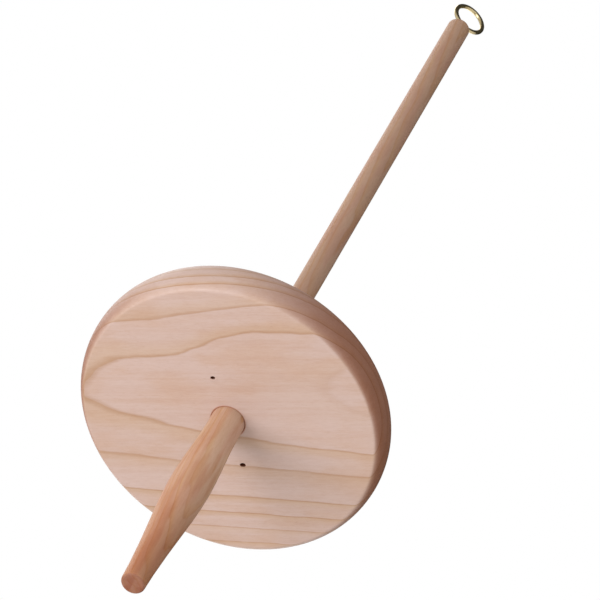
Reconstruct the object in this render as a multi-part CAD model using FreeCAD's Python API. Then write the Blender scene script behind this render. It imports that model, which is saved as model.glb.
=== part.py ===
import FreeCAD, Part
import math
import os

# Bottom-whorl drop spindle, in millimetres.
# Origin: bottom tip of the handle, on the axis. +Z runs up the shaft to the hook.
# The hook's loop lies in the XZ plane, and its mouth faces +X.

# Shaft: one turned stick, from the handle's tip to the end that holds the hook.
shaft_length = 306.8
dowel_diameter = 7.1
dowel_edge_radius = 1.0
handle_length = 79.3
handle_tip_diameter = 6.9
handle_tip_edge_radius = 0.8
handle_waist_diameter = 7.7
handle_waist_height = 12.0
handle_swell_diameter = 10.1
handle_swell_height = 29.3
grip_diameter = 11.75
grip_height = 46.8
neck_taper_diameter = 10.2
neck_taper_height = 66.3
seat_diameter = 9.7
seat_overrun = 1.2
seat_cove_height = 7.0

# Whorl: a flat disc, with a rim that bulges between its two faces.
whorl_diameter = 90.0
whorl_thickness = 12.7
rim_lower_inset = 2.75
rim_lower_height = 6.5
rim_upper_inset = 3.0
bore_clearance = 0.0
bore_mouth_chamfer = 0.35
drive_pin_circle_diameter = 29.0
drive_pin_hole_diameter = 1.3
drive_pin_hole_depth = 3.0
drive_pin_angle = 34.0

# Hook: brass wire bent to a nearly closed loop, with a screw-threaded stem.
wire_diameter = 1.4
loop_radius = 5.1
loop_offset = 1.5
loop_height = 7.5
neck_bend_radius = 1.2
mouth_angle = 16.0
thread_length = 8.1
thread_pitch = 0.9
thread_crest_diameter = 1.8
thread_root_diameter = 1.25
thread_point_length = 1.4
thread_clearance = 0.03
pilot_hole_margin = 0.6

# Collar: a domed ring crimped round the hook's neck, seated on the shaft's end.
collar_diameter = 5.0
collar_height = 0.9
collar_edge_height = 0.35
collar_dome_bulge = 0.15
crimp_clearance = 0.0
collar_seat_gap = 0.02

UP = FreeCAD.Vector(0, 0, 1)
ACROSS = FreeCAD.Vector(0, 1, 0)
ORIGIN = FreeCAD.Vector(0, 0, 0)
FULL_TURN = 360.0


def point(radius, height):
    """A point of a turned profile, in the XZ plane."""
    return FreeCAD.Vector(radius, 0, height)


def line(start, end):
    return Part.LineSegment(start, end).toShape()


def turned(edges):
    """The solid that a closed profile makes when it is turned about Z."""
    face = Part.Face(Part.Wire(edges))
    return face.revolve(ORIGIN, UP, FULL_TURN)


def corner_arc(inner, outer, radius):
    """A quarter round from a flat end, at the height of inner, to the side at outer."""
    rise = math.copysign(radius, outer.z - inner.z)
    centre = point(inner.x, outer.z)
    half = math.sqrt(0.5)
    middle = centre + FreeCAD.Vector(radius * half, 0, -rise * half)
    return Part.Arc(inner, middle, outer).toShape()


def handle_curve(foot):
    """The handle's side, from just above the rounded tip to the whorl's seat."""
    stations = [
        foot,
        point(handle_waist_diameter / 2, handle_waist_height),
        point(handle_swell_diameter / 2, handle_swell_height),
        point(grip_diameter / 2, grip_height),
        point(neck_taper_diameter / 2, neck_taper_height),
        point(seat_diameter / 2, handle_length),
    ]
    curve = Part.BSplineCurve()
    curve.interpolate(stations)
    return curve.toShape()


def cove(lower, upper):
    """The hollow that takes the seat down to the dowel, and runs out along its side."""
    rise = upper.z - lower.z
    step = lower.x - upper.x
    radius = (rise**2 + step**2) / (2 * step)
    half_turn = math.asin(rise / radius) / 2
    across = radius * (1 - math.cos(half_turn))
    middle = point(upper.x + across, upper.z - radius * math.sin(half_turn))
    return Part.Arc(lower, middle, upper).toShape()


def make_spindle_shaft():
    tip_radius = handle_tip_diameter / 2
    dowel_radius = dowel_diameter / 2
    seat_top = handle_length + whorl_thickness + seat_overrun
    cove_top = seat_top + seat_cove_height
    tip_centre = point(0, 0)
    tip_flat = point(tip_radius - handle_tip_edge_radius, 0)
    tip_side = point(tip_radius, handle_tip_edge_radius)
    seat_foot = point(seat_diameter / 2, handle_length)
    seat_head = point(seat_diameter / 2, seat_top)
    dowel_foot = point(dowel_radius, cove_top)
    dowel_side = point(dowel_radius, shaft_length - dowel_edge_radius)
    dowel_flat = point(dowel_radius - dowel_edge_radius, shaft_length)
    end_centre = point(0, shaft_length)
    stick = turned([
        line(tip_centre, tip_flat),
        corner_arc(tip_flat, tip_side, handle_tip_edge_radius),
        handle_curve(tip_side),
        line(seat_foot, seat_head),
        cove(seat_head, dowel_foot),
        line(dowel_foot, dowel_side),
        corner_arc(dowel_flat, dowel_side, dowel_edge_radius),
        line(dowel_flat, end_centre),
        line(end_centre, tip_centre),
    ])
    hole_radius = thread_crest_diameter / 2 + thread_clearance
    hole_depth = thread_length + thread_point_length + pilot_hole_margin
    hole_foot = point(0, shaft_length - hole_depth)
    return stick.cut(Part.makeCylinder(hole_radius, hole_depth, hole_foot, UP))


def rim_quarter(face_point, rim_point):
    """A quarter ellipse from the edge of a flat face out to the widest line of the rim."""
    centre = point(face_point.x, rim_point.z)
    ellipse = Part.Ellipse(face_point, rim_point, centre)
    start = ellipse.parameter(face_point)
    end = ellipse.parameter(rim_point)
    if end - start > math.pi:
        start += 2 * math.pi
    if start - end > math.pi:
        end += 2 * math.pi
    return Part.ArcOfEllipse(ellipse, min(start, end), max(start, end)).toShape()


def drive_pin_hole(angle):
    radius = drive_pin_circle_diameter / 2
    turn = math.radians(angle)
    mouth = FreeCAD.Vector(radius * math.cos(turn), radius * math.sin(turn), handle_length)
    return Part.makeCylinder(drive_pin_hole_diameter / 2, drive_pin_hole_depth, mouth, UP)


def make_whorl():
    outer = whorl_diameter / 2
    bore = seat_diameter / 2 + bore_clearance
    under = handle_length
    top = handle_length + whorl_thickness
    widest = point(outer, under + rim_lower_height)
    mouth_inner = point(bore, under + bore_mouth_chamfer)
    mouth_outer = point(bore + bore_mouth_chamfer, under)
    lower_edge = point(outer - rim_lower_inset, under)
    upper_edge = point(outer - rim_upper_inset, top)
    bore_top = point(bore, top)
    disc = turned([
        line(mouth_inner, mouth_outer),
        line(mouth_outer, lower_edge),
        rim_quarter(lower_edge, widest),
        rim_quarter(upper_edge, widest),
        line(upper_edge, bore_top),
        line(bore_top, mouth_inner),
    ])
    for angle in (drive_pin_angle, drive_pin_angle + FULL_TURN / 2):
        disc = disc.cut(drive_pin_hole(angle))
    return disc


def bent_wire(start, heading, centre, angle):
    """Round wire that leaves start in the heading's direction and turns about centre."""
    section = Part.Wire(Part.makeCircle(wire_diameter / 2, start, heading))
    return Part.Face(section).revolve(centre, ACROSS, angle)


def thread_profile(top):
    """The outline of the threaded stem: ring ridges at the thread's pitch, then a point."""
    crest = thread_crest_diameter / 2
    root = thread_root_diameter / 2
    outline = [point(0, top), point(root, top)]
    for ridge in range(round(thread_length / thread_pitch)):
        height = top - ridge * thread_pitch
        outline.append(point(crest, height - thread_pitch / 2))
        outline.append(point(root, height - thread_pitch))
    outline.append(point(0, outline[-1].z - thread_point_length))
    return outline + [outline[0]]


def make_yarn_hook():
    loop_centre = point(loop_offset, shaft_length + loop_height)
    # The neck's bend is tangent to the stem on one side and to the loop on the other.
    reach = neck_bend_radius + loop_offset
    span = loop_radius + neck_bend_radius
    bend_centre = point(-neck_bend_radius, loop_centre.z - math.sqrt(span**2 - reach**2))
    bend_start = point(0, bend_centre.z)
    join_angle = math.degrees(math.asin(reach / span))
    bend_turn = 90.0 - join_angle
    to_join = (bend_centre - loop_centre).normalize()
    loop_start = loop_centre + to_join * loop_radius
    loop_heading = ACROSS.cross(to_join)
    loop_turn = FULL_TURN - join_angle - mouth_angle
    neck_foot = point(0, shaft_length)
    neck = Part.makeCylinder(wire_diameter / 2, bend_start.z - neck_foot.z, neck_foot, UP)
    bend = bent_wire(bend_start, UP, bend_centre, -bend_turn)
    loop = bent_wire(loop_start, loop_heading, loop_centre, loop_turn)
    free_end = loop_centre + FreeCAD.Vector(
        loop_radius * math.sin(math.radians(mouth_angle)),
        0,
        -loop_radius * math.cos(math.radians(mouth_angle)),
    )
    rounded_end = Part.makeSphere(wire_diameter / 2, free_end)
    outline = thread_profile(shaft_length)
    thread = Part.Face(Part.makePolygon(outline)).revolve(ORIGIN, UP, FULL_TURN)
    return neck.multiFuse([bend, loop, rounded_end, thread]).removeSplitter()


def make_hook_collar():
    hole = wire_diameter / 2 + crimp_clearance
    seat = shaft_length + collar_seat_gap
    rim = collar_diameter / 2
    lower_inner = point(hole, seat)
    lower_outer = point(rim, seat)
    upper_outer = point(rim, seat + collar_edge_height)
    upper_inner = point(hole, seat + collar_height)
    slope = upper_inner - upper_outer
    dome_middle = (upper_inner + upper_outer) / 2 + ACROSS.cross(slope).normalize() * collar_dome_bulge
    return turned([
        line(lower_inner, lower_outer),
        line(lower_outer, upper_outer),
        Part.Arc(upper_outer, dome_middle, upper_inner).toShape(),
        line(upper_inner, lower_inner),
    ])


PIECES = {
    "spindle_shaft": make_spindle_shaft,
    "whorl": make_whorl,
    "yarn_hook": make_yarn_hook,
    "hook_collar": make_hook_collar,
}


def main():
    os.makedirs("parts", exist_ok=True)
    for name, make in PIECES.items():
        (solid,) = make().Solids
        box = solid.optimalBoundingBox(True, True)
        print(name, "valid" if solid.isValid() else "NOT VALID", round(solid.Volume, 2), "mm3,",
              "z", round(box.ZMin, 2), "to", round(box.ZMax, 2),
              "x", round(box.XMin, 2), "to", round(box.XMax, 2))
        solid.exportStep("parts/" + name + ".step")


main()
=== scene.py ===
import math

import bmesh
import bpy
from mathutils import Matrix, Vector


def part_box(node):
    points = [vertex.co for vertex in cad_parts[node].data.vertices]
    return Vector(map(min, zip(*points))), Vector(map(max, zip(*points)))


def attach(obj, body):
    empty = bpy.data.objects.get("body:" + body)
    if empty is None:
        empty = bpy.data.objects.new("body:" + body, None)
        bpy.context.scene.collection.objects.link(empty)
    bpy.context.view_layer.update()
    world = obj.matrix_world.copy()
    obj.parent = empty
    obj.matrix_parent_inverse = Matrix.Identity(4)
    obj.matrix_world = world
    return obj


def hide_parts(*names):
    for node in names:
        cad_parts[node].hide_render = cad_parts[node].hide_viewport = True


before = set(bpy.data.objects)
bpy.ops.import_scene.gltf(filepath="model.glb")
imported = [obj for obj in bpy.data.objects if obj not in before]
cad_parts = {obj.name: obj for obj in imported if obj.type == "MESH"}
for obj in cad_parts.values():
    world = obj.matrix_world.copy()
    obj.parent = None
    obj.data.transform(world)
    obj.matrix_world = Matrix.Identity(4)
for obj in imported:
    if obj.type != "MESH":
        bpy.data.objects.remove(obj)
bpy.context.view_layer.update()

MM = 0.001

# The view: from below the whorl, far off, with a long lens.
VIEW_AZIMUTH = -13.78
VIEW_ELEVATION = -52.514
VIEW_ROLL = 30.392
VIEW_DISTANCE = 1.4419
VIEW_AIM = Vector((0.00017, -0.00012, 0.14382))
LENS_MM = 300.0
SENSOR_MM = 36.0

# Where the soft light is brightest, in the view's right, up and back directions.
ROOM_BRIGHT = Vector((-0.35, 0.85, 0.30))
MIRROR_BRIGHT = Vector((-0.80, -0.40, 0.45))

# The wood's directions in the whorl: along its fibres, and across them in the board's width.
FIBRE = Vector((0.634, -0.773, 0.0))
WIDTH = Vector((0.773, 0.634, 0.0))
UP = Vector((0.0, 0.0, 1.0))

# The whorl's board, in mm: where the tree's centre line runs, and each growth line's distance from it
# and number. The first and last pairs only carry the spacing on.
PITH_ACROSS = -10.5
PITH_BELOW_FACE = 60.0
PITH_SLOPE = -0.045
GROWTH_LINES = (
    (40.0, -6.6),
    (61.9, 0.0),
    (65.1, 1.0),
    (69.9, 2.0),
    (72.8, 3.0),
    (75.7, 4.0),
    (100.0, 12.0),
)
# One wave in the whorl's grain, in mm, where the arch's upper limb swings outward and back.
SWING_CENTRE = -12.0
SWING_LENGTH = 44.0
SWING_ACROSS = -25.0
SWING_REACH = 7.0
SWING_DEPTH = 2.0

# The shaft's billet, in mm: away from the tree's centre line and across that, then how far off it runs.
SHAFT_OUT = Vector((0.42, -0.907, 0.0)).normalized()
SHAFT_SIDE = UP.cross(SHAFT_OUT)
SHAFT_PITH_AWAY = 24.0
SHAFT_PITH_SLOPE = 0.045
SHAFT_LINE_SPACING = 1.7

# Each wood's colours: between the growth lines, behind a line, and the line itself.
WHORL_COLOURS = ((0.520, 0.384, 0.345), (0.490, 0.338, 0.252), (0.370, 0.212, 0.122))
SHAFT_COLOURS = ((0.600, 0.410, 0.300), (0.590, 0.375, 0.215), (0.490, 0.270, 0.140))
# Tints that darken the wood in places.
STREAK_TINT = (0.965, 0.935, 0.90)
FINE_STREAK_TINT = (0.94, 0.91, 0.88)
PORE_TINT = (0.80, 0.71, 0.62)
WHORL_END_TINT = (0.60, 0.37, 0.26)
WHORL_BLOTCH_TINT = (0.965, 0.905, 0.82)
# Painted shade in the crevice where the handle enters the whorl.
CREVICE_SHADE_TINT = (0.76, 0.46, 0.32)
# Painted shade inside the drive pins' holes.
PIN_HOLE_SHADE_TINT = (0.25, 0.12, 0.07)
SHAFT_END_TINT = (0.64, 0.57, 0.61)
SHAFT_HUE_TINT = (0.98, 0.91, 0.92)
FIGURE_TINT = (0.91, 0.80, 0.71)
HANDLE_TINT = (0.71, 0.50, 0.38)
DOWEL_TINT = (0.70, 0.64, 0.61)

BRASS_BRIGHT = (0.74, 0.62, 0.36)
BRASS_DULL = (0.50, 0.38, 0.19)
BRASS_SPECK = (0.27, 0.18, 0.08)


def bore_radius():
    return min(math.hypot(v.co.x, v.co.y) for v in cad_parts["whorl"].data.vertices)


SEAT_RADIUS = bore_radius()

# The two holes that the lathe's drive pins left in the whorl's lower face, longer along the fibres.
# PIN_SHAPE holds depth, half length and half width, in mm.
PIN_CIRCLE = 14.5 * MM
PIN_ANGLE = math.radians(34.0)
PIN_SHAPE = ((-0.4, 0.95, 0.68), (0.0, 0.90, 0.64), (0.5, 0.72, 0.54), (2.2, 0.55, 0.46), (3.0, 0.12, 0.10))
PIN_SIZES = (1.0, 0.8)
PIN_SIDES = 28
PIN_LIP = 0.13 * MM
PIN_LIP_REACH = 2.5 * MM

# How finely the turned meshes are cut: round them, along them, and close beside the pin holes.
WHORL_SEGMENTS = 256
SHAFT_SEGMENTS = 96
FACE_STEP = 1.6 * MM
TOP_STEP = 2.5 * MM
PIN_STEP = 0.35 * MM
PIN_ZONE = 2.4 * MM
SHAFT_STEP = 2.0 * MM
TIP_STEP = 0.5 * MM
# A narrow band along the edge of each face of the whorl, so that the face shades flat right up to it.
EDGE_BAND = 0.1 * MM
BORE_MOUTH = 0.2 * MM
HOLE_EDGE = 0.12 * MM
SHARP_WOOD = 32.0
SHARP_BRASS = 50.0


# ---------------------------------------------------------------- camera, world and lights

def view_axes():
    azimuth = math.radians(VIEW_AZIMUTH)
    elevation = math.radians(VIEW_ELEVATION)
    back = Vector((
        math.sin(azimuth) * math.cos(elevation),
        -math.cos(azimuth) * math.cos(elevation),
        math.sin(elevation),
    ))
    turn = (-back).to_track_quat("-Z", "Y").to_matrix().to_4x4()
    return turn @ Matrix.Rotation(math.radians(VIEW_ROLL), 4, "Z")


def make_camera(axes):
    data = bpy.data.cameras.new("camera")
    data.lens = LENS_MM
    data.sensor_width = SENSOR_MM
    data.clip_start = 0.05
    data.clip_end = 500.0
    camera = bpy.data.objects.new("camera", data)
    bpy.context.scene.collection.objects.link(camera)
    camera.matrix_world = Matrix.Translation(VIEW_AIM) @ axes @ Matrix.Translation((0, 0, VIEW_DISTANCE))
    bpy.context.scene.camera = camera


def make_light(name, place, aim, size, watts, colour):
    """A square soft box at place that faces aim."""
    data = bpy.data.lights.new(name, "AREA")
    data.size = size
    data.energy = watts
    data.color = colour
    light = bpy.data.objects.new(name, data)
    light.location = place
    light.rotation_euler = (aim - place).to_track_quat("-Z", "Y").to_euler()
    light.visible_camera = False
    bpy.context.scene.collection.objects.link(light)


class World:
    """The world's node tree, whose nodes are added by short calls."""

    def __init__(self, name):
        self.world = bpy.data.worlds.new(name)
        self.world.use_nodes = True
        self.tree = self.world.node_tree
        self.tree.nodes.clear()
        self.place = self.tree.nodes.new("ShaderNodeTexCoord").outputs["Generated"]
        self.ray = self.tree.nodes.new("ShaderNodeLightPath")

    def ramp(self, direction, start, end, low, high):
        """A strength that runs smoothly from low to high as the view turns towards direction."""
        toward = self.tree.nodes.new("ShaderNodeVectorMath")
        toward.operation = "DOT_PRODUCT"
        toward.inputs[1].default_value = direction.normalized()
        self.tree.links.new(self.place, toward.inputs[0])
        spread = self.tree.nodes.new("ShaderNodeMapRange")
        spread.interpolation_type = "SMOOTHSTEP"
        spread.inputs["From Min"].default_value = start
        spread.inputs["From Max"].default_value = end
        spread.inputs["To Min"].default_value = low
        spread.inputs["To Max"].default_value = high
        self.tree.links.new(toward.outputs["Value"], spread.inputs["Value"])
        return spread.outputs["Result"]

    def light(self, colour, strength):
        background = self.tree.nodes.new("ShaderNodeBackground")
        background.inputs["Color"].default_value = (*colour, 1.0)
        self.tree.links.new(strength, background.inputs["Strength"])
        return background.outputs[0]

    def choose(self, ray, other, shown):
        """Shows one light to rays of the named kind, and the other to the rest."""
        mix = self.tree.nodes.new("ShaderNodeMixShader")
        self.tree.links.new(self.ray.outputs[ray], mix.inputs["Fac"])
        self.tree.links.new(other, mix.inputs[1])
        self.tree.links.new(shown, mix.inputs[2])
        return mix.outputs[0]

    def finish(self, light):
        out = self.tree.nodes.new("ShaderNodeOutputWorld")
        self.tree.links.new(light, out.inputs["Surface"])
        bpy.context.scene.world = self.world


def make_world(axes):
    """A pale sweep behind everything, white overhead, and a soft room that the camera doesn't see."""
    world = World("world")
    view = axes.to_3x3()
    soft = world.ramp(view @ ROOM_BRIGHT, start=-1.0, end=1.0, low=0.17, high=1.27)
    contrasty = world.ramp(view @ MIRROR_BRIGHT, start=-0.35, end=0.9, low=0.05, high=1.1)
    rising = world.ramp(UP, start=0.02, end=0.55, low=0.76, high=1.0)
    room = world.light((1.0, 0.985, 0.965), soft)
    mirrored = world.light((1.0, 0.98, 0.95), contrasty)
    sweep = world.light((1.0, 1.0, 1.0), rising)
    lit = world.choose("Is Glossy Ray", room, mirrored)
    world.finish(world.choose("Is Camera Ray", lit, sweep))


def make_studio():
    axes = view_axes()
    make_camera(axes)
    make_world(axes)
    face = Vector((0.0, 0.0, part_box("whorl")[0].z))
    key = face + axes.to_3x3() @ Vector((-0.90, 0.05, 0.95)) * 0.6
    make_light("key", key, face, size=0.5, watts=4.5, colour=(1.0, 0.985, 0.97))
    above = Vector((-0.7, 0.9, 1.6))
    make_light("above", above, VIEW_AIM, size=1.2, watts=9.0, colour=(1.0, 0.98, 0.96))
    behind = VIEW_AIM + Vector((0.5, 2.0, 0.7))
    make_light("behind", behind, VIEW_AIM, size=1.6, watts=16.0, colour=(1.0, 0.99, 0.98))
    bpy.context.scene.view_settings.view_transform = "Standard"
    bpy.context.scene.view_settings.look = "None"


def make_floor():
    """A wide pale floor below the hanging spindle and the camera."""
    half = 60.0
    depth = -1.07
    mesh = bpy.data.meshes.new("floor")
    corners = [(-half, -half, depth), (half, -half, depth), (half, half, depth), (-half, half, depth)]
    mesh.from_pydata(corners, [], [(0, 1, 2, 3)])
    floor = bpy.data.objects.new("floor", mesh)
    bpy.context.scene.collection.objects.link(floor)
    paint = Graph("floor_paint", roughness=0.9, emission_strength=0.04)
    paint.shader.inputs["Emission Color"].default_value = (1.0, 1.0, 1.0, 1.0)
    cloud = paint.noise(paint.place, 0.6, 2.0)
    paint.colour(paint.blend(cloud, (0.84, 0.84, 0.83), (0.87, 0.87, 0.86)))
    mesh.materials.append(paint.material)


# ---------------------------------------------------------------- materials

class Graph:
    """A material whose nodes are added by short calls. Each call gives back an output socket."""

    def __init__(self, name, **sockets):
        self.material = bpy.data.materials.new(name)
        self.material.use_nodes = True
        self.tree = self.material.node_tree
        self.shader = self.tree.nodes["Principled BSDF"]
        for socket, value in sockets.items():
            self.shader.inputs[socket.replace("_", " ").title().replace("Ior", "IOR")].default_value = value
        coordinates = self.tree.nodes.new("ShaderNodeTexCoord")
        self.normal = coordinates.outputs["Normal"]
        self.place = self.vector("SCALE", coordinates.outputs["Object"], scale=1.0 / MM)

    def plug(self, socket, value):
        if isinstance(value, bpy.types.NodeSocket):
            self.tree.links.new(value, socket)
        elif socket.type == "RGBA":
            socket.default_value = (*value, 1.0)
        else:
            socket.default_value = value

    def math(self, operation, *values):
        node = self.tree.nodes.new("ShaderNodeMath")
        node.operation = operation
        for socket, value in zip(node.inputs, values):
            self.plug(socket, value)
        return node.outputs[0]

    def vector(self, operation, *values, scale=None):
        node = self.tree.nodes.new("ShaderNodeVectorMath")
        node.operation = operation
        for socket, value in zip(node.inputs, values):
            self.plug(socket, value)
        if scale is not None:
            self.plug(node.inputs["Scale"], scale)
        return node.outputs["Value" if operation in ("DOT_PRODUCT", "LENGTH") else "Vector"]

    def along(self, direction, source=None):
        return self.vector("DOT_PRODUCT", source or self.place, direction)

    def combine(self, x, y, z):
        node = self.tree.nodes.new("ShaderNodeCombineXYZ")
        for socket, value in zip(node.inputs, (x, y, z)):
            self.plug(socket, value)
        return node.outputs[0]

    def noise(self, vector, scale, detail, roughness=0.5):
        node = self.tree.nodes.new("ShaderNodeTexNoise")
        self.plug(node.inputs["Vector"], vector)
        node.inputs["Scale"].default_value = scale
        node.inputs["Detail"].default_value = detail
        node.inputs["Roughness"].default_value = roughness
        return node.outputs["Fac"]

    def step(self, value, start, end, low=0.0, high=1.0):
        """Runs smoothly from low to high as value goes from start to end."""
        node = self.tree.nodes.new("ShaderNodeMapRange")
        node.interpolation_type = "SMOOTHSTEP"
        for socket, setting in zip(node.inputs, (value, start, end, low, high)):
            self.plug(socket, setting)
        return node.outputs["Result"]

    def blend(self, factor, first, second, mode="MIX"):
        node = self.tree.nodes.new("ShaderNodeMix")
        node.data_type = "RGBA"
        node.blend_type = mode
        self.plug(node.inputs[0], factor)
        self.plug(node.inputs[6], first)
        self.plug(node.inputs[7], second)
        return node.outputs[2]

    def tint(self, factor, wood, colour):
        return self.blend(factor, wood, colour, "MULTIPLY")

    def sway(self, noise, reach):
        """A noise turned into a shift of up to half the reach either way."""
        return self.math("MULTIPLY", self.math("SUBTRACT", noise, 0.5), reach)

    def hypotenuse(self, first, second):
        squares = [self.math("MULTIPLY", side, side) for side in (first, second)]
        return self.math("SQRT", self.math("ADD", *squares))

    def stretched(self, coordinates, share):
        """Coordinates for a pattern drawn out along the fibres: the smaller the share, the longer."""
        s, t, z = coordinates
        return self.combine(self.math("MULTIPLY", s, share), t, z)

    def curve(self, value, points):
        """A value read off the straight runs between points, all of them between 0 and 1."""
        node = self.tree.nodes.new("ShaderNodeFloatCurve")
        line = node.mapping.curves[0]
        while len(line.points) < len(points):
            line.points.new(0.5, 0.5)
        for mark, (x, y) in zip(line.points, points):
            mark.location = (x, y)
            mark.handle_type = "VECTOR"
        node.mapping.update()
        self.plug(node.inputs["Value"], value)
        return node.outputs[0]

    def colour(self, value):
        self.plug(self.shader.inputs["Base Color"], value)

    def rough(self, value):
        self.plug(self.shader.inputs["Roughness"], value)

    def bump(self, height, depth_mm, strength=1.0):
        node = self.tree.nodes.new("ShaderNodeBump")
        node.inputs["Strength"].default_value = strength
        node.inputs["Distance"].default_value = depth_mm * MM
        self.plug(node.inputs["Height"], height)
        self.plug(self.shader.inputs["Normal"], node.outputs["Normal"])


def fibres(graph, coordinates):
    """Long and fine streaks that run along the wood, as two values about 0.5."""
    long_streaks = graph.noise(graph.stretched(coordinates, 0.03), 0.55, 5.0, 0.6)
    fine_streaks = graph.noise(graph.stretched(coordinates, 0.16), 2.2, 7.0, 0.72)
    return long_streaks, fine_streaks


def pores(graph, coordinates):
    """Short open pores along the fibres: 1 in a pore, 0 between them."""
    speckle = graph.noise(graph.stretched(coordinates, 0.09), 7.0, 2.0)
    return graph.step(speckle, 0.62, 0.74)


def grown(graph, ring, colours, sharpness, line_width):
    """The colour across one year's growth: a thin dark line, then tan that fades outward to pale."""
    pale, tan, dark = colours
    year = graph.math("FLOOR", ring)
    part = graph.math("FRACT", ring)
    random = graph.tree.nodes.new("ShaderNodeTexWhiteNoise")
    random.noise_dimensions = "1D"
    graph.plug(random.inputs["W"], year)
    strength = graph.step(random.outputs["Value"], 0.0, 1.0, 0.6, 1.0)
    strength = graph.math("MULTIPLY", strength, graph.step(ring, -0.4, -0.1, 0.3, 1.0))
    fade = graph.math("MULTIPLY", graph.step(part, 0.0, 0.5, 1.0, 0.0), strength)
    inside = graph.step(part, 1.0 - 0.5 * line_width, 1.0)
    outside = graph.step(part, 0.0, line_width, 1.0, 0.0)
    line = graph.math("MULTIPLY", graph.math("ADD", inside, outside), strength)
    wood = graph.blend(fade, pale, tan)
    return graph.blend(graph.math("MULTIPLY", line, sharpness), wood, dark)


def finish_wood(graph, wood, coordinates, end_direction, end_tint, gloss, relief_mm):
    """Adds streaks, pores, darker end grain, gloss and relief to a wood's colour."""
    long_streaks, fine_streaks = fibres(graph, coordinates)
    open_pores = pores(graph, coordinates)
    wood = graph.tint(graph.step(long_streaks, 0.36, 0.66), wood, STREAK_TINT)
    wood = graph.tint(graph.step(fine_streaks, 0.32, 0.72), wood, FINE_STREAK_TINT)
    wood = graph.tint(graph.math("MULTIPLY", open_pores, 0.5), wood, PORE_TINT)
    end = graph.math("ABSOLUTE", graph.along(end_direction, graph.normal))
    wood = graph.tint(graph.step(end, 0.15, 0.9), wood, end_tint)
    smooth, coarse = gloss
    graph.rough(graph.step(fine_streaks, 0.3, 0.7, smooth, coarse))
    relief = graph.math("SUBTRACT", fine_streaks, graph.math("MULTIPLY", open_pores, 0.6))
    graph.bump(relief, relief_mm, 0.6)
    return wood


def grain_swing(graph, s, t):
    """The sideways shift that the wave in the whorl's grain gives, in mm."""
    past = graph.math("SUBTRACT", s, SWING_CENTRE)
    swing = graph.math("COSINE", graph.math("MULTIPLY", past, math.tau / SWING_LENGTH))
    near = graph.math("DIVIDE", graph.math("SUBTRACT", t, SWING_ACROSS), SWING_REACH)
    near = graph.math("EXPONENT", graph.math("MULTIPLY", graph.math("MULTIPLY", near, near), -1.0))
    return graph.math("MULTIPLY", graph.math("MULTIPLY", swing, near), -SWING_DEPTH)


def growth_ring(graph, radius):
    """The number of growth lines passed at a distance from the tree's centre line."""
    first, last = GROWTH_LINES[0], GROWTH_LINES[-1]
    span = last[0] - first[0]
    rise = last[1] - first[1]
    marks = [((distance - first[0]) / span, (number - first[1]) / rise) for distance, number in GROWTH_LINES]
    ring = graph.curve(graph.math("DIVIDE", graph.math("SUBTRACT", radius, first[0]), span), marks)
    return graph.math("ADD", graph.math("MULTIPLY", ring, rise), first[1])


def make_whorl_wood():
    """Pale flat-sawn hardwood: its growth lines arch over the face and wrap round the rim."""
    graph = Graph("whorl_wood", coat_weight=0.1, coat_roughness=0.35, specular_ior_level=0.4)
    s = graph.along(FIBRE)
    t = graph.along(WIDTH)
    z = graph.along(UP)
    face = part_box("whorl")[0].z / MM
    board = (s, t, z)
    wander = graph.sway(graph.noise(graph.stretched(board, 0.35), 0.06, 2.0), 0.8)
    ripple = graph.sway(graph.noise(graph.stretched(board, 0.30), 0.35, 3.0), 0.4)
    across = graph.math("SUBTRACT", t, PITH_ACROSS)
    # The lines run smooth round the arch's nose, over the board's centre line.
    ripple = graph.math("MULTIPLY", ripple, graph.step(graph.math("ABSOLUTE", across), 3.0, 14.0))
    depth = graph.math("ADD", graph.math("MULTIPLY", s, PITH_SLOPE), PITH_BELOW_FACE - face)
    depth = graph.math("ADD", depth, z)
    radius = graph.hypotenuse(depth, graph.math("ADD", across, grain_swing(graph, s, t)))
    radius = graph.math("ADD", radius, graph.math("ADD", wander, ripple))
    upright = graph.math("ABSOLUTE", graph.along(UP, graph.normal))
    clear = graph.step(upright, 0.6, 0.98, 1.0, 0.75)
    wood = grown(graph, growth_ring(graph, radius), WHORL_COLOURS, clear, 0.08)
    blotch = graph.noise(graph.stretched(board, 0.45), 0.085, 3.0, 0.55)
    wood = graph.tint(graph.step(blotch, 0.42, 0.70), wood, WHORL_BLOTCH_TINT)
    wood = finish_wood(graph, wood, board, FIBRE, WHORL_END_TINT, (0.42, 0.56), 0.03)
    # Painted shade: a darker ring in the crevice where the handle enters, and darker insides to the drive
    # pins' holes.
    bore = graph.vector("LENGTH", graph.vector("MULTIPLY", graph.place, (1.0, 1.0, 0.0)))
    seat = SEAT_RADIUS / MM
    wood = graph.tint(graph.step(bore, seat + 0.2, seat + 0.6, 1.0, 0.0), wood, CREVICE_SHADE_TINT)
    # Painted shade: the inside of each pin hole is darkened.
    beside = graph.math("ABSOLUTE", graph.math("SUBTRACT", bore, PIN_CIRCLE / MM))
    deep = graph.math("SUBTRACT", z, face)
    pin_hole_shade = graph.math("MULTIPLY", graph.step(deep, 0.02, 0.3), graph.step(deep, 4.0, 5.0, 1.0, 0.0))
    pin_hole_shade = graph.math("MULTIPLY", pin_hole_shade, graph.step(beside, 1.8, 2.2, 1.0, 0.0))
    wood = graph.tint(pin_hole_shade, wood, PIN_HOLE_SHADE_TINT)
    graph.colour(wood)
    return graph.material


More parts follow.
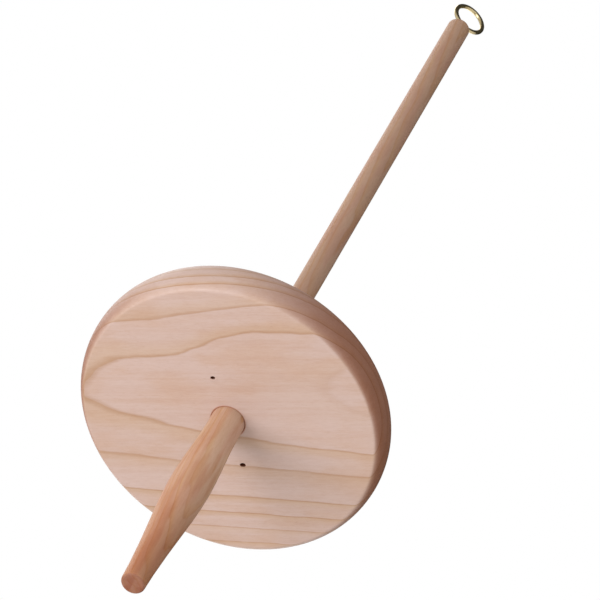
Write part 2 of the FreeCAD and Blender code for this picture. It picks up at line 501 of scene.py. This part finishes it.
def make_shaft_wood():
    """The same hardwood turned along its fibres, warmer where the hand has polished it."""
    graph = Graph("shaft_wood", specular_ior_level=0.4)
    s = graph.along(UP)
    t = graph.along(SHAFT_SIDE)
    n = graph.along(SHAFT_OUT)
    billet = (s, t, n)
    wander = graph.sway(graph.noise(graph.stretched(billet, 0.10), 0.20, 3.0), 3.4)
    depth = graph.math("MULTIPLY", s, SHAFT_PITH_SLOPE)
    depth = graph.math("ADD", depth, graph.math("ADD", n, SHAFT_PITH_AWAY))
    radius = graph.math("ADD", graph.hypotenuse(depth, t), wander)
    ring = graph.math("DIVIDE", radius, SHAFT_LINE_SPACING)
    wood = grown(graph, ring, SHAFT_COLOURS, 0.45, 0.16)
    hue = graph.noise(graph.stretched(billet, 0.16), 0.30, 2.0)
    wood = graph.tint(graph.step(hue, 0.40, 0.62), wood, SHAFT_HUE_TINT)
    figure = graph.noise(graph.stretched(billet, 0.10), 0.38, 1.0)
    figured = graph.math("MULTIPLY", graph.step(figure, 0.42, 0.62), graph.step(s, 60.0, 85.0, 1.0, 0.0))
    wood = graph.tint(figured, wood, FIGURE_TINT)
    wood = graph.tint(graph.step(s, 5.0, 68.0, 1.0, 0.0), wood, HANDLE_TINT)
    wood = graph.tint(graph.step(s, 88.0, 104.0), wood, DOWEL_TINT)
    wood = finish_wood(graph, wood, billet, UP, SHAFT_END_TINT, (0.50, 0.62), 0.015)
    graph.colour(wood)
    return graph.material


def make_brass():
    """Polished brass wire, dulled to brown here and there."""
    graph = Graph("hook_brass", metallic=1.0)
    cloud = graph.noise(graph.place, 0.55, 4.0, 0.6)
    speck = graph.noise(graph.place, 5.0, 3.0, 0.6)
    metal = graph.blend(graph.step(cloud, 0.40, 0.70, 0.0, 0.7), BRASS_BRIGHT, BRASS_DULL)
    metal = graph.blend(graph.step(speck, 0.62, 0.76, 0.0, 0.5), metal, BRASS_SPECK)
    graph.colour(metal)
    graph.rough(graph.step(cloud, 0.3, 0.7, 0.10, 0.24))
    graph.bump(graph.noise(graph.place, 9.0, 3.0), 0.008, 0.5)
    return graph.material


# ---------------------------------------------------------------- turned wood

def rings_of(node, least=0.0):
    """The turned outline of a CAD node: its widest radius at each height that has vertices."""
    widest = {}
    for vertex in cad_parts[node].data.vertices:
        radius = math.hypot(vertex.co.x, vertex.co.y)
        height = round(vertex.co.z, 6)
        if radius > least:
            widest[height] = max(radius, widest.get(height, 0.0))
    return [(widest[height], height) for height in sorted(widest)]


def round_angles(sides):
    return [math.tau * k / sides for k in range(sides)]


def bridge(shape, lower, upper):
    """Faces between two hoops. A hoop of one vertex is a point on the axis."""
    sides = max(len(lower), len(upper))
    for k in range(sides):
        following = (k + 1) % sides
        if len(lower) == 1:
            shape.faces.new((lower[0], upper[following], upper[k]))
        elif len(upper) == 1:
            shape.faces.new((lower[k], lower[following], upper[0]))
        else:
            shape.faces.new((lower[k], lower[following], upper[following], upper[k]))


def tube(shape, hoops):
    """Faces along a row of hoops, with a cap at each end."""
    for lower, upper in zip(hoops, hoops[1:]):
        bridge(shape, lower, upper)
    shape.faces.new(hoops[0])
    shape.faces.new(hoops[-1])


def mesh_from(shape, name):
    bmesh.ops.recalc_face_normals(shape, faces=shape.faces)
    mesh = bpy.data.meshes.new(name)
    shape.to_mesh(mesh)
    shape.free()
    return mesh


def turn(name, outline, segments):
    """A piece turned about Z from an outline of (radius, height). A radius of 0 is a point on the axis."""
    shape = bmesh.new()
    hoops = []
    for radius, height in outline:
        if radius == 0.0:
            hoops.append([shape.verts.new((0.0, 0.0, height))])
            continue
        corners = [(radius * math.cos(a), radius * math.sin(a), height) for a in round_angles(segments)]
        hoops.append([shape.verts.new(corner) for corner in corners])
    for lower, upper in zip(hoops, hoops[1:]):
        bridge(shape, lower, upper)
    return show(name, mesh_from(shape, name))


def show(name, mesh):
    piece = bpy.data.objects.new(name, mesh)
    bpy.context.scene.collection.objects.link(piece)
    return piece


def soften(mesh, sharp_degrees):
    mesh.shade_smooth()
    mesh.set_sharp_from_angle(angle=math.radians(sharp_degrees))


def finer(outline, longest):
    """The same outline with points added so that no run is longer than longest."""
    points = [outline[0]]
    for (r0, z0), (r1, z1) in zip(outline, outline[1:]):
        parts = max(1, math.ceil(math.hypot(r1 - r0, z1 - z0) / longest))
        points += [(r0 + (r1 - r0) * k / parts, z0 + (z1 - z0) * k / parts) for k in range(1, parts + 1)]
    return points


def pin_places():
    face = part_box("whorl")[0].z
    for angle, size in zip((PIN_ANGLE, PIN_ANGLE + math.pi), PIN_SIZES):
        yield Vector((PIN_CIRCLE * math.cos(angle), PIN_CIRCLE * math.sin(angle), face)), size


def pin_cutter(place, size):
    """The space that a pin leaves: an oval that narrows with depth."""
    shape = bmesh.new()
    hoops = []
    for depth, half_length, half_width in PIN_SHAPE:
        hoop = []
        for angle in round_angles(PIN_SIDES):
            along = FIBRE * (size * half_length * MM * math.cos(angle))
            across = WIDTH * (size * half_width * MM * math.sin(angle))
            hoop.append(shape.verts.new(place + along + across + UP * depth * MM))
        hoops.append(hoop)
    tube(shape, hoops)
    return show("pin_cutter", mesh_from(shape, "pin_cutter"))


def cut(piece, cutters):
    """Takes the cutters out of the piece, and away from the scene."""
    for cutter in cutters:
        modifier = piece.modifiers.new("cut", "BOOLEAN")
        modifier.operation = "DIFFERENCE"
        modifier.solver = "EXACT"
        modifier.object = cutter
    bpy.context.view_layer.update()
    carved = piece.evaluated_get(bpy.context.evaluated_depsgraph_get())
    result = bpy.data.meshes.new_from_object(carved)
    piece.modifiers.clear()
    piece.data = result
    for cutter in cutters:
        bpy.data.objects.remove(cutter)


def raise_lips(mesh):
    """Lifts the torn fibres beside each pin hole, on its side away from the board's centre line."""
    for place, _ in pin_places():
        for vertex in mesh.vertices:
            offset = vertex.co - place
            if abs(offset.z) > 0.01 * MM or offset.length > PIN_LIP_REACH:
                continue
            distance = offset.length / MM
            rise = math.exp(-((distance - 1.0) / 0.4) ** 2)
            one_side = 0.5 + 0.5 * offset.normalized().dot(WIDTH) if distance else 0.0
            vertex.co.z -= PIN_LIP * rise * one_side


def make_whorl(material):
    low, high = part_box("whorl")
    rim = rings_of("whorl", least=0.8 * high.x)
    face_inner = SEAT_RADIUS + BORE_MOUTH
    pins_inner = PIN_CIRCLE - PIN_ZONE
    pins_outer = PIN_CIRCLE + PIN_ZONE
    face = finer([(face_inner, low.z), (pins_inner, low.z)], FACE_STEP)
    face += finer([(pins_inner, low.z), (pins_outer, low.z)], PIN_STEP)[1:]
    face += finer([(pins_outer, low.z), (rim[0][0] - EDGE_BAND, low.z)], FACE_STEP)[1:]
    face.append(rim[0])
    top = finer([(rim[-1][0] - EDGE_BAND, high.z), (SEAT_RADIUS, high.z)], TOP_STEP)
    outline = [(SEAT_RADIUS, low.z + BORE_MOUTH)] + face + rim[1:] + top
    outline.append(outline[0])
    whorl = turn("whorl_disc", outline, WHORL_SEGMENTS)
    merge_seam(whorl.data)
    raise_lips(whorl.data)
    cut(whorl, [pin_cutter(place, size) for place, size in pin_places()])
    soften(whorl.data, SHARP_WOOD)
    whorl.data.materials.clear()
    whorl.data.materials.append(material)
    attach(whorl, "spindle")
    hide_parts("whorl")


def merge_seam(mesh):
    """Joins the first and last hoops of a closed outline."""
    shape = bmesh.new()
    shape.from_mesh(mesh)
    bmesh.ops.remove_doubles(shape, verts=shape.verts, dist=0.001 * MM)
    bmesh.ops.recalc_face_normals(shape, faces=shape.faces)
    shape.to_mesh(mesh)
    shape.free()


def make_shaft(material):
    low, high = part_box("spindle_shaft")
    sides = rings_of("spindle_shaft", least=2.0 * MM)
    hole = [v.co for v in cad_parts["spindle_shaft"].data.vertices if math.hypot(v.co.x, v.co.y) < MM]
    hole = [co for co in hole if co.z > 0.5 * high.z]
    hole_radius = max(math.hypot(co.x, co.y) for co in hole)
    hole_foot = min(co.z for co in hole)
    outline = [(0.0, low.z)] + finer([(0.3 * MM, low.z), sides[0]], TIP_STEP)
    outline += finer(sides, SHAFT_STEP)[1:]
    outline.append((hole_radius + HOLE_EDGE, high.z))
    outline.append((hole_radius, high.z - HOLE_EDGE))
    outline.append((hole_radius, hole_foot))
    outline.append((0.0, hole_foot))
    shaft = turn("shaft_stick", outline, SHAFT_SEGMENTS)
    soften(shaft.data, SHARP_WOOD)
    shaft.data.materials.append(material)
    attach(shaft, "spindle")
    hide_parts("spindle_shaft")


# ---------------------------------------------------------------- hook

NECK_BEND = 1.2 * MM
MOUTH_ANGLE = math.radians(16.0)
THREAD_PITCH = 0.9 * MM
THREAD_ROOT = 0.625 * MM
POINT_LENGTH = 1.3 * MM
POINT_SHARE = 0.06
THREAD_RUN_OUT = 0.6 * MM
RIDGE_POWER = 1.3
SCREW_STEP = 0.06 * MM
NECK_STEPS = 8
BEND_STEPS = 14
LOOP_STEPS = 120
HOOK_SIDES = 28
# The filed end beyond the loop: how far on, in mm, and what share of the wire's radius is left.
FILED_END = ((0.10, 0.97), (0.20, 0.86), (0.26, 0.70))


def hook_path():
    """The wire's middle line from the screw's point round to the free end, as (place, heading, kind).

    Also gives back the wire's and the thread's radius, and the heights of the point and the shaft's end.
    """
    low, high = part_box("yarn_hook")
    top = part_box("spindle_shaft")[1].z
    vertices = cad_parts["yarn_hook"].data.vertices
    wire = max(abs(v.co.y) for v in vertices if v.co.z > top + MM)
    crest = max(abs(v.co.y) for v in vertices)
    outer = (high.x - low.x) / 2
    centre = Vector(((high.x + low.x) / 2, 0.0, high.z - outer))
    loop = outer - wire
    span = loop + NECK_BEND
    bend = Vector((-NECK_BEND, 0.0, centre.z - math.sqrt(span**2 - (NECK_BEND + centre.x) ** 2)))
    stations = []
    steps = math.ceil((top - low.z) / SCREW_STEP)
    for k in range(steps):
        height = low.z + (top - low.z) * k / steps
        stations.append((Vector((0.0, 0.0, height)), UP, "screw"))
    for k in range(NECK_STEPS):
        stations.append((Vector((0.0, 0.0, top + (bend.z - top) * k / NECK_STEPS)), UP, "wire"))
    turned = math.atan2(centre.z - bend.z, centre.x - bend.x)
    for k in range(BEND_STEPS):
        angle = turned * k / BEND_STEPS
        spoke = Vector((math.cos(angle), 0.0, math.sin(angle)))
        stations.append((bend + spoke * NECK_BEND, Vector((-spoke.z, 0.0, spoke.x)), "wire"))
    start = turned + math.pi
    end = MOUTH_ANGLE - math.pi / 2
    for k in range(LOOP_STEPS + 1):
        angle = start + (end - start) * k / LOOP_STEPS
        spoke = Vector((math.cos(angle), 0.0, math.sin(angle)))
        stations.append((centre + spoke * loop, Vector((spoke.z, 0.0, -spoke.x)), "wire"))
    return stations, wire, crest, low.z, top


def make_hook(material):
    """Round wire with a cut thread below, bent to a loop whose free end is cut off and filed."""
    stations, wire, crest, foot, top = hook_path()
    last, heading, _ = stations[-1]
    shape = bmesh.new()
    hoops = []
    for place, ahead, kind in stations:
        hoop = []
        for angle in round_angles(HOOK_SIDES):
            radius = wire
            if kind == "screw":
                radius = screw_radius(place.z, angle, foot, top, wire, crest)
            hoop.append(shape.verts.new(place + round_wire(ahead, angle) * radius))
        hoops.append(hoop)
    for reach, share in FILED_END:
        place = last + heading * reach * MM
        corners = [place + round_wire(heading, angle) * (wire * share) for angle in round_angles(HOOK_SIDES)]
        hoops.append([shape.verts.new(corner) for corner in corners])
    tube(shape, hoops)
    mesh = mesh_from(shape, "hook_wire")
    soften(mesh, SHARP_BRASS)
    mesh.materials.append(material)
    hook = show("hook_wire", mesh)
    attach(hook, "hook")
    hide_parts("yarn_hook")


def round_wire(ahead, angle):
    """The direction out of the wire at an angle round it."""
    out = Vector((ahead.z, 0.0, -ahead.x))
    return out * math.cos(angle) + Vector((0.0, 1.0, 0.0)) * math.sin(angle)


def screw_radius(height, angle, foot, top, wire, crest):
    """The stem's radius: a helical thread that runs out near the top and tapers to the point."""
    turn_part = (height / THREAD_PITCH - angle / math.tau) % 1.0
    ridge = (1.0 - abs(2.0 * turn_part - 1.0)) ** RIDGE_POWER
    thread_top = top - THREAD_RUN_OUT
    run_out = min(1.0, max(0.0, (thread_top - height) / THREAD_PITCH))
    root = THREAD_ROOT * run_out + wire * (1.0 - run_out)
    radius = root + (crest - root) * ridge * run_out
    point = min(1.0, max(POINT_SHARE, (height - foot) / POINT_LENGTH))
    return radius * point


# ---------------------------------------------------------------- the scene

make_studio()
make_floor()
brass = make_brass()
make_whorl(make_whorl_wood())
make_shaft(make_shaft_wood())
make_hook(brass)
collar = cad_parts["hook_collar"]
collar.data.materials.clear()
collar.data.materials.append(brass)
